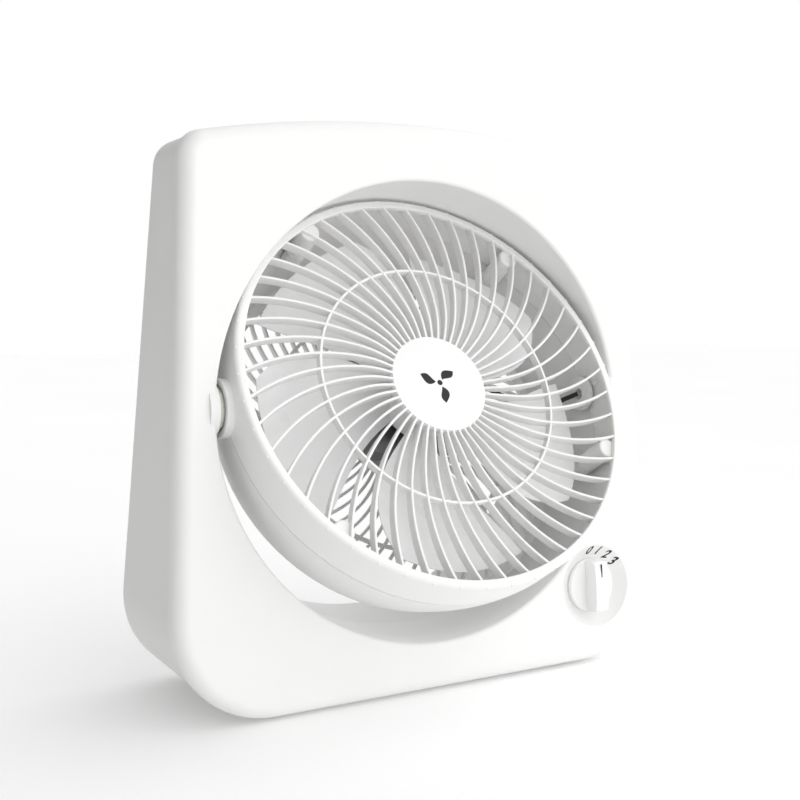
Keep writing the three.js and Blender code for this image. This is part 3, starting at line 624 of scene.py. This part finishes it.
def front_panel():
    lip = arc(OPENING_RADIUS + OPENING_LIP, OPENING_LIP, OPENING_LIP, -math.pi / 2, -math.pi, 6)
    inside = [(collar_radius(d), d) for d in collar_depths()]
    outside = [(r + WALL, d) for r, d in inside]
    wall = turned([(0, 1), (OPENING_RADIUS + WALL, 1)] + outside[1:] + [(0, COLLAR_DEPTH)])
    bore = turned([(0, -5), (lip[0][0], -5)] + lip + inside[1:]
                  + [(COLLAR_END_RADIUS, COLLAR_DEPTH + 5), (0, COLLAR_DEPTH + 5)])
    dish_back = turned([(0, 1), (DISH_RADIUS + WALL, 1), (DISH_RADIUS + WALL, DISH_DEPTH + WALL),
                        (0, DISH_DEPTH + WALL)], 96)
    edge = DISH_RADIUS + 0.6
    bowl = [(DISH_FLOOR_RADIUS + (DISH_RADIUS - 0.5 - DISH_FLOOR_RADIUS) * i / 12) for i in range(13)]
    dish = turned([(0, -2), (edge, -2), (edge, 0), (DISH_RADIUS + 0.2, 0.1), (DISH_RADIUS - 0.15, 0.3)]
                  + [(r, dish_depth(r)) for r in reversed(bowl)] + [(0, DISH_DEPTH)], 96)
    hole = turned([(0, 0), (5, 0), (5, 20), (0, 20)], 48)
    shell = carved(front_block(0, SEAM_DEPTH), [
        ("DIFFERENCE", front_block(WALL, SEAM_DEPTH + 1)),
        ("UNION", moved(wall, PANEL)),
        ("UNION", moved(dish_back, KNOB)),
        ("DIFFERENCE", moved(bore, PANEL)),
        ("DIFFERENCE", moved(dish, KNOB)),
        ("DIFFERENCE", moved(hole, KNOB)),
    ])
    pivot = Matrix.Translation(DRUM.translation)
    pad = rounded([(8, PAD_START_X, 0.6), (BOSS_RADIUS, PAD_START_X, 1), (BOSS_RADIUS, PAD_END_X, 0),
                   (8, PAD_END_X, 0)])
    pads = [moved(turned(pad, 96), beside_pivot(side), pivot) for side in (-1, 1)]
    piece("front_shell", together([shell, *pads]), HERE, "base", SHELL_WHITE,
          ["front_panel"])


def rear_housing():
    outer = rear_block(0, SEAM_DEPTH + GAP)
    start = COLLAR_DEPTH + GAP
    ends = [(start, COLLAR_END_RADIUS), (TUNNEL_END_DEPTH + 20, collar_radius(TUNNEL_END_DEPTH + 20))]
    plug = turned([(0, start)] + [(r + WALL, y) for y, r in ends] + [(0, ends[1][0])])
    bore = turned([(0, start - 30), (COLLAR_END_RADIUS, start - 30)] + [(r, y) for y, r in ends]
                  + [(0, ends[1][0])])
    steps = [
        ("DIFFERENCE", rear_block(WALL, SEAM_DEPTH - 1)),
        ("UNION", carved(moved(plug, PANEL), [("INTERSECT", rear_block(0.01, SEAM_DEPTH + GAP))])),
        ("DIFFERENCE", moved(bore, PANEL)),
    ]
    for x, v in HOUSING_SCREWS:
        post_start = POST_END_DEPTH + GAP
        rise = (PANEL @ Vector((x, 0, v))) - PANEL.translation
        back = REAR_DEPTH - rise.z * math.tan(REAR_LEAN) - rise.y
        post = turned([(0, post_start), (POST_RADIUS, post_start), (POST_RADIUS, back - 1),
                       (0, back - 1)], 32)
        well = turned([(0, post_start + 4), (WELL_RADIUS, post_start + 4), (WELL_RADIUS, back - 0.6),
                       (5.4, back + 0.4), (5.4, back + 9), (0, back + 9)], 32)
        steps.append(("UNION", moved(post, behind_face(x, v))))
        steps.append(("DIFFERENCE", moved(well, behind_face(x, v))))
    inlet = turned([(0, 60), (5.2, 60), (5.2, 140), (0, 140)], 48)
    steps.append(("DIFFERENCE", moved(inlet, behind_face(*GLAND))))
    piece("rear_shell", carved(outer, steps), HERE, "base", REAR_WHITE, ["rear_housing"])


# ---------- drum ----------

def drum_radius(y):
    """Radius of the drum's outer face at a depth behind the pivot plane."""
    if y <= 0:
        return PARTING_RADIUS + (RIM_RADIUS - PARTING_RADIUS) * y / RIM_Y
    return PARTING_RADIUS - DRUM_FALL * (y / GUARD_Y) ** 1.6


def bent_path(start, radius, bend, steps, way):
    """Points (x, z) of a path that leaves the hub straight out and bends at a constant radius."""
    path = []
    for i in range(steps + 1):
        angle = bend * i / steps
        path.append((start + radius * math.sin(angle), way * radius * (1 - math.cos(angle))))
    return path


def swept(path, section):
    """Closed bar along a flat (x, z) path; section gives (across, y) points at an axis distance."""
    rows = []
    for i, (x, z) in enumerate(path):
        ax, az = path[max(i - 1, 0)]
        bx, bz = path[min(i + 1, len(path) - 1)]
        length = math.hypot(bx - ax, bz - az)
        nx, nz = -(bz - az) / length, (bx - ax) / length
        rows.append([(x + nx * u, y, z + nz * u) for u, y in section(math.hypot(x, z))])
    return loft(rows)


def rib_section(radius):
    share = max(0, min(1, (DIP_RADIUS + 2 - radius) / (DIP_RADIUS + 2 - BADGE_RADIUS)))
    front = RIB_FRONT_Y + (HUB_FRONT_Y - BADGE_DEPTH - RIB_FRONT_Y) * share ** 1.5
    half = RIB_THICKNESS / 2
    crown = arc(0, front + 0.45, 1, math.pi, 2 * math.pi, 6)
    return [(x * half, front + 0.45 + (y - front - 0.45) * 0.45) for x, y in crown] + [
        (half * 0.75, RIB_BACK_Y - 0.3), (half * 0.5, RIB_BACK_Y),
        (-half * 0.5, RIB_BACK_Y), (-half * 0.75, RIB_BACK_Y - 0.3)]


def bar_section(_radius):
    half = BAR_THICKNESS / 2
    front = GUARD_Y + 0.1
    back = GUARD_Y + GUARD_DEPTH - 0.1
    return [(-half, front + 0.5), (-half * 0.6, front), (half * 0.6, front), (half, front + 0.5),
            (half, back - 0.5), (half * 0.6, back), (-half * 0.6, back), (-half, back - 0.5)]


def boss_half(side, inner_end, start, end):
    """Half of the round boss that carries a pivot pin, in the drum's frame."""
    bore = PIN_RADIUS + GAP
    profile = rounded([
        (bore, inner_end, 0), (BOSS_RADIUS, inner_end, 0), (BOSS_RADIUS, BOSS_X, 1),
        (BOSS_RADIUS - 3.2, BOSS_X, 0.5), (BOSS_RADIUS - 3.2, BOSS_X - 2.2, 0.4),
        (BOSS_RADIUS - 5.6, BOSS_X - 2.2, 0.4), (BOSS_RADIUS - 5.6, BOSS_X, 0.5), (bore, BOSS_X, 0.4),
    ], 4)
    return moved(part_turned(profile, start, end), beside_pivot(side))


def lug(angle, closed_end, open_end):
    """Screw post inside the drum's wall, with its screw hole open towards one end."""
    at = Matrix.Translation((LUG_RADIUS, 0, 0))
    floor_y = closed_end + (open_end - closed_end) * 0.3
    profile = rounded([(0, closed_end, 0), (LUG_SIZE, closed_end, 1.2), (LUG_SIZE, open_end, 0),
                       (1.5, open_end, 0), (1.5, floor_y, 0), (0, floor_y, 0)], 4)
    return moved(turned(profile, 40), at, turned_to(angle))


def front_grille():
    def inner(y):
        return drum_radius(y) - DRUM_WALL

    seam = -GAP / 2
    skirt = turned(rounded([
        (RIM_INNER_RADIUS, RIM_Y, 0.8), (RIM_RADIUS, RIM_Y, 2.4), (PARTING_RADIUS, seam, 0.35),
        (inner(0), seam, 0.2), (inner(RIM_Y) - 0.2, RIM_Y + 3.2, 0.6),
        (RIM_INNER_RADIUS, RIM_Y + 3.2, 0.5),
    ], 6), DRUM_SEGMENTS)
    ring_front = RIB_FRONT_Y + 0.5
    ring_back = RIB_BACK_Y - 0.8
    ring = turned(rounded([
        (GRILLE_RING_RADIUS - 0.8, ring_front, 0.4), (GRILLE_RING_RADIUS + 0.8, ring_front, 0.4),
        (GRILLE_RING_RADIUS + 0.6, ring_back, 0.3), (GRILLE_RING_RADIUS - 0.6, ring_back, 0.3),
    ], 3), RING_SEGMENTS)
    hub = turned([(0, HUB_FRONT_Y), (BADGE_RADIUS, HUB_FRONT_Y), (BADGE_RADIUS + 0.4, HUB_FRONT_Y + 0.4),
                  (BADGE_RADIUS + 0.4, HUB_FRONT_Y + 1.6), (GRILLE_HUB_RADIUS, HUB_FRONT_Y + 2),
                  (GRILLE_HUB_RADIUS, HUB_BACK_Y), (GRILLE_HUB_RADIUS - 2, HUB_BACK_Y),
                  (GRILLE_HUB_RADIUS - 2, HUB_FRONT_Y + 2), (0, HUB_FRONT_Y + 2)], 128)
    path = bent_path(GRILLE_HUB_RADIUS - 0.5, RIB_BEND_RADIUS, RIB_BEND, RIB_STEPS, 1)
    ribs = around_axis(swept(path, rib_section), RIB_COUNT)
    lugs = [lug(angle, RIM_Y + 3, seam) for angle in LUG_ANGLES]
    bosses = [boss_half(side, FRONT_BOSS_X, math.pi / 2 * (1 + side), math.pi / 2 * (3 + side))
              for side in (-1, 1)]
    shapes = [skirt, ring, hub, ribs, *lugs, *bosses]
    piece("drum_front", together(shapes), DRUM, "head", GRILLE_WHITE, ["front_grille"])


def badge():
    back = HUB_FRONT_Y - GAP
    front = back - BADGE_DEPTH
    crown = [(BADGE_RADIUS * i / 8, front + 0.25 * (i / 8) ** 2) for i in range(8)]
    disc = turned(crown + arc(BADGE_RADIUS - 0.6, front + 0.85, 0.6, -math.pi / 2, 0, 5)
                  + [(BADGE_RADIUS, back), (0, back)], 128)
    piece("badge_disc", disc, DRUM, "head", BADGE_WHITE, ["centre_badge"])
    leaf = []
    for i in range(MARK_STEPS + 1):
        share = i / MARK_STEPS
        leaf.append((MARK_START + MARK_LENGTH * share, 0.6 + 3.8 * math.sin(math.pi * share ** 0.8)))
    for i in range(MARK_STEPS - 1, 0, -1):
        share = i / MARK_STEPS
        leaf.append((MARK_START + MARK_LENGTH * share, 0.6 - 2.2 * math.sin(math.pi * share ** 1.6)))
    mark = [around_axis(prism(leaf, front - 0.05, front + 0.3, 0.03), MARK_LEAVES, 30),
            turned([(0, front - 0.05), (1.7, front - 0.05), (1.7, front + 0.3), (0, front + 0.3)], 32)]
    piece("badge_mark", together(mark), DRUM, "head", INK)


def rear_grille():
    seam = GAP / 2
    steps = [GUARD_Y * i / 14 for i in range(15)]
    outer = [(drum_radius(y), max(y, seam)) for y in steps]
    inner = [(drum_radius(y) - DRUM_WALL, max(y, seam)) for y in reversed(steps)]
    corner = arc(DRUM_BACK_RADIUS, GUARD_Y, DRUM_BACK_Y - GUARD_Y, 0, math.pi / 2, 6)
    corner = [(DRUM_BACK_RADIUS + (r - DRUM_BACK_RADIUS) * 1.15, y) for r, y in corner[1:]]
    skirt = turned(outer + corner + [(DRUM_BACK_RADIUS - 3, DRUM_BACK_Y), (DRUM_BACK_RADIUS - 3, GUARD_Y)]
                   + inner, DRUM_SEGMENTS)
    back = GUARD_Y + GUARD_DEPTH
    hoop = turned(rounded([
        (GUARD_RING_RADIUS - 1, GUARD_Y + 0.5, 0.4), (GUARD_RING_RADIUS + 1, GUARD_Y + 0.5, 0.4),
        (GUARD_RING_RADIUS + 1, back - 0.5, 0.4), (GUARD_RING_RADIUS - 1, back - 0.5, 0.4),
    ], 3), RING_SEGMENTS)
    rim = GUARD_HUB_RADIUS - 3
    centre = turned([(0, back - 1.8), (rim, back - 1.8), (rim, GUARD_Y), (GUARD_HUB_RADIUS - 0.5, GUARD_Y),
                     (GUARD_HUB_RADIUS, GUARD_Y + 0.5), (GUARD_HUB_RADIUS, back - 0.8),
                     (GUARD_HUB_RADIUS - 0.8, back), (0, back)], 120)
    path = bent_path(GUARD_HUB_RADIUS - 1.5, BAR_BEND_RADIUS, BAR_BEND, BAR_STEPS, -1)
    bars = around_axis(swept(path, bar_section), BAR_COUNT)
    seats = []
    for side in (-1, 1):
        at = Matrix.Translation((side * BRACKET_SCREW_X, 0, 0))
        seats.append(moved(turned([(1.4, GUARD_Y - 3), (4.6, GUARD_Y - 3), (5, GUARD_Y - 2.4),
                                   (5, GUARD_Y + 2), (1.4, GUARD_Y + 2)], 40), at))
    lugs = [lug(angle, 12, seam) for angle in LUG_ANGLES]
    bosses = [boss_half(side, BACK_BOSS_X, math.pi / 2 * (1 - side), math.pi / 2 * (3 - side))
              for side in (-1, 1)]
    shapes = [skirt, hoop, centre, bars, *seats, *lugs, *bosses]
    piece("drum_back", together(shapes), DRUM, "head", GUARD_WHITE, ["rear_grille"])


# ---------- fan and motor ----------

def blade():
    """One thin twisted blade with rounded, tapering edges."""
    rows = across = BLADE_STEPS

    def point(i, j, side):
        s = i / rows
        t = j / across
        radius = HUB_RADIUS - 1.5 + (TIP_RADIUS - HUB_RADIUS + 1.5) * s
        width = math.radians(48 + 12 * math.sin(math.pi * s * 0.8))
        sweep = math.radians(16 * s * s)
        rounding = 0.12 * s ** 6 * math.cos(math.pi * t) ** 2
        angle = sweep + width * (t - 0.5) * (1 - rounding)
        pitch = 9.5 - 3 * s
        camber = 2.2 * math.cos(math.pi * (t - 0.5))
        edge = min(1, min(t, 1 - t) * 9, (1 - s) * 12) if s > 0.02 else 1
        half = BLADE_THICKNESS / 2 * (0.35 + 0.65 * math.sqrt(edge))
        y = -pitch * math.cos(math.pi * t) * 0.9 + camber + side * half - 1
        return radius * math.cos(angle), y, radius * math.sin(angle)

    bm = bmesh.new()
    sheets = [[[bm.verts.new(point(i, j, side)) for j in range(across + 1)] for i in range(rows + 1)]
              for side in (-1, 1)]
    for sheet in sheets:
        for i in range(rows):
            for j in range(across):
                bm.faces.new((sheet[i][j], sheet[i][j + 1], sheet[i + 1][j + 1], sheet[i + 1][j]))
    rim = [(0, j) for j in range(across)] + [(i, across) for i in range(rows)]
    rim += [(rows, j) for j in range(across, 0, -1)] + [(i, 0) for i in range(rows, 0, -1)]
    for k, (i, j) in enumerate(rim):
        m, n = rim[(k + 1) % len(rim)]
        bm.faces.new((sheets[0][i][j], sheets[0][m][n], sheets[1][m][n], sheets[1][i][j]))
    bmesh.ops.recalc_face_normals(bm, faces=bm.faces)
    return bm


def rotor():
    hub = turned(rounded([
        (SHAFT_RADIUS + GAP, -12, 0.3), (HUB_RADIUS, -12, 4), (HUB_RADIUS, 9, 0.5),
        (HUB_RADIUS - 2, 9, 0.5), (HUB_RADIUS - 2, -8, 1), (7, -8, 1), (7, 8, 0.5),
        (SHAFT_RADIUS + GAP, 8, 0)], 6), 96)
    blades = around_axis(blade(), BLADE_COUNT, -BLADE_START)
    piece("rotor", together([hub, blades]), DRUM, "fan", BLADE_WHITE, ["fan_blade"])


def motor_bracket():
    y0 = BRACKET_FRONT_Y
    y1 = y0 + BRACKET_THICKNESS
    shapes = []
    for side in (-1, 1):
        x0, x1 = sorted((side * 32, side * 97))
        shapes.append(block(x0, x1, y0, y1, -11, 11, 0.5))
        for z in (-9.9, 9.9):
            shapes.append(block(x0 + 0.4, x1 - 0.4, y0 - 4, y0 + 1, z - 1.1, z + 1.1, 0.4))
        x2, x3 = sorted((side * 50, side * 67))
        shapes.append(block(x2, x3, y0 - 1.1, y0 + 0.5, -6.5, 6.5, 0.4))
        slot = rounded([(side * 40, -4, 3.9), (side * 48, -4, 3.9), (side * 48, 4, 3.9),
                        (side * 40, 4, 3.9)], 6)
        shapes.append(prism(slot, y0 - 2.4, y0 + 0.5, 0.3))
    plate = prism(rounded([(-33, -17, 5), (33, -17, 5), (33, 17, 5), (-33, 17, 5)]), y0, y1, 0.4)
    hole = turned([(0, y0 - 5), (8.2, y0 - 5), (8.2, y1 + 5), (0, y1 + 5)], 64)
    shapes.append(carved(plate, [("DIFFERENCE", hole)]))
    piece("motor_arm", together(shapes), DRUM, "head", GUARD_WHITE, ["motor_bracket"])


# ---------- knob ----------

def knob():
    low = DISH_DEPTH - 0.4
    disc = turned(rounded([
        (3, KNOB_FACE_Y, 0.2), (KNOB_RADIUS, KNOB_FACE_Y, 0.9), (KNOB_RADIUS, low, 0.2),
        (KNOB_RADIUS - 1.6, low, 0.2), (KNOB_RADIUS - 1.6, KNOB_FACE_Y + 1.2, 0.3),
        (3, KNOB_FACE_Y + 1.2, 0)], 5), 128)
    half = GRIP_WIDTH / 2
    bar = block(-half, half, GRIP_TOP_Y - 3, KNOB_FACE_Y + 1, -KNOB_RADIUS - 3, KNOB_RADIUS + 3, 0.05)
    crown = [(15.2 * i / 10, GRIP_TOP_Y + 1.1 * (i / 10) ** 3) for i in range(11)]
    crown += [(15.9, GRIP_TOP_Y + 1.9), (16.3, GRIP_TOP_Y + 3.2), (KNOB_RADIUS - 0.3, KNOB_FACE_Y + 1),
              (0, KNOB_FACE_Y + 1)]
    grip = carved(bar, [("INTERSECT", turned(crown, 128))])
    bmesh.ops.remove_doubles(grip, verts=grip.verts, dist=0.01)
    piece("knob_cap", together([disc, grip]), KNOB, "knob_body", KNOB_WHITE, ["knob"])
    line = block(-0.4, 0.4, GRIP_TOP_Y - 0.02, GRIP_TOP_Y + 0.6, 6, 14.2, 0.1)
    piece("knob_pointer", line, KNOB, "knob_body", INK)


def digit(text, angle):
    """A speed mark that follows the wall of the knob's dish."""
    curve = bpy.data.curves.new("digit", "FONT")
    curve.body = text
    curve.size = DIGIT_SIZE
    curve.shear = DIGIT_SLANT
    curve.extrude = 0.08
    curve.offset = 0.12
    curve.align_x = "CENTER"
    curve.align_y = "CENTER"
    source = linked("digit", curve)
    graph = bpy.context.evaluated_depsgraph_get()
    mesh = bpy.data.meshes.new_from_object(source.evaluated_get(graph))
    bpy.data.objects.remove(source)
    bm = bmesh.new()
    bm.from_mesh(mesh)
    bmesh.ops.remove_doubles(bm, verts=bm.verts, dist=0.001)
    for axis in (0, 1):
        for k in range(-8, 9):
            at = Vector((0, 0, 0))
            normal = Vector((0, 0, 0))
            at[axis] = k * 0.5
            normal[axis] = 1
            everything = bm.verts[:] + bm.edges[:] + bm.faces[:]
            bmesh.ops.bisect_plane(bm, geom=everything, plane_co=at, plane_no=normal)
    turn = math.radians((angle - 90) * 0.3)
    middle = Vector((DIGIT_RADIUS * math.cos(math.radians(angle)),
                     DIGIT_RADIUS * math.sin(math.radians(angle))))
    for vert in bm.verts:
        flat = Vector((vert.co.x, vert.co.y))
        flat.rotate(Matrix.Rotation(turn, 2))
        flat += middle
        vert.co = (flat.x, dish_depth(flat.length) - 0.1 - vert.co.z, flat.y)
    bmesh.ops.recalc_face_normals(bm, faces=bm.faces)
    return bm


def dial_marks():
    marks = [digit(str(i), angle) for i, angle in enumerate(DIGIT_ANGLES)]
    piece("dial_marks", together(marks), KNOB, "base", INK)


# ---------- studio ----------

def camera():
    data = bpy.data.cameras.new("camera")
    data.sensor_width = CAMERA_SENSOR
    data.lens = CAMERA_LENS
    obj = linked("camera", data)
    forward = Vector(CAMERA_FORWARD).normalized()
    right = Vector(CAMERA_RIGHT).normalized()
    up = right.cross(forward)
    axes = Matrix((right, up, -forward)).transposed()
    obj.matrix_world = Matrix.Translation(CAMERA_PLACE) @ axes.to_4x4()
    bpy.context.scene.camera = obj


def floor():
    bm = bmesh.new()
    bmesh.ops.create_grid(bm, x_segments=8, y_segments=8, size=FLOOR_SIZE)
    mesh = bpy.data.meshes.new("floor")
    bm.to_mesh(mesh)
    bm.free()
    obj = linked("floor", mesh)
    material, tree, shader, where = new_material("floor")
    colour = blended(tree, noise(tree, where, 3), (0.9, 0.9, 0.9), (0.92, 0.92, 0.92))
    tree.links.new(colour, shader.inputs["Base Color"])
    shader.inputs["Roughness"].default_value = 1
    shader.inputs["Specular IOR Level"].default_value = 0
    shader.inputs["Emission Color"].default_value = (1, 1, 1, 1)
    shader.inputs["Emission Strength"].default_value = FLOOR_GLOW
    mesh.materials.append(material)


def studio_light():
    """White backdrop that lights the fan most from the right and least from the left."""
    world = bpy.data.worlds.new("studio")
    world.use_nodes = True
    bpy.context.scene.world = world
    tree = world.node_tree
    background = tree.nodes["Background"]
    direction = tree.nodes.new("ShaderNodeTexCoord").outputs["Generated"]
    total = calculated(tree, "ADD", along(tree, direction, STUDIO_SLOPE), STUDIO_MEAN)
    strength = calculated(tree, "MAXIMUM", total, STUDIO_LEAST)
    tree.links.new(strength, background.inputs["Strength"])
    backdrop = tree.nodes.new("ShaderNodeBackground")
    backdrop.inputs["Strength"].default_value = 1
    backdrop.inputs["Color"].default_value = (1, 1, 1, 1)
    background.inputs["Color"].default_value = (1, 1, 1, 1)
    seen = tree.nodes.new("ShaderNodeLightPath")
    mix = tree.nodes.new("ShaderNodeMixShader")
    tree.links.new(seen.outputs["Is Camera Ray"], mix.inputs["Fac"])
    tree.links.new(background.outputs["Background"], mix.inputs[1])
    tree.links.new(backdrop.outputs["Background"], mix.inputs[2])
    tree.links.new(mix.outputs["Shader"], tree.nodes["World Output"].inputs["Surface"])


def key_light():
    data = bpy.data.lights.new("key", "AREA")
    data.shape = "RECTANGLE"
    data.size = KEY_SIZE
    data.size_y = KEY_SIZE
    data.energy = KEY_POWER
    obj = linked("key", data)
    obj.location = KEY_PLACE
    obj.rotation_euler = (Vector(KEY_AIM) - Vector(KEY_PLACE)).to_track_quat("-Z", "Y").to_euler()


front_panel()
rear_housing()
front_grille()
badge()
rear_grille()
rotor()
motor_bracket()
knob()
dial_marks()
dress_cad_nodes()
floor()
camera()
studio_light()
key_light()
bpy.context.scene.view_settings.view_transform = "Standard"
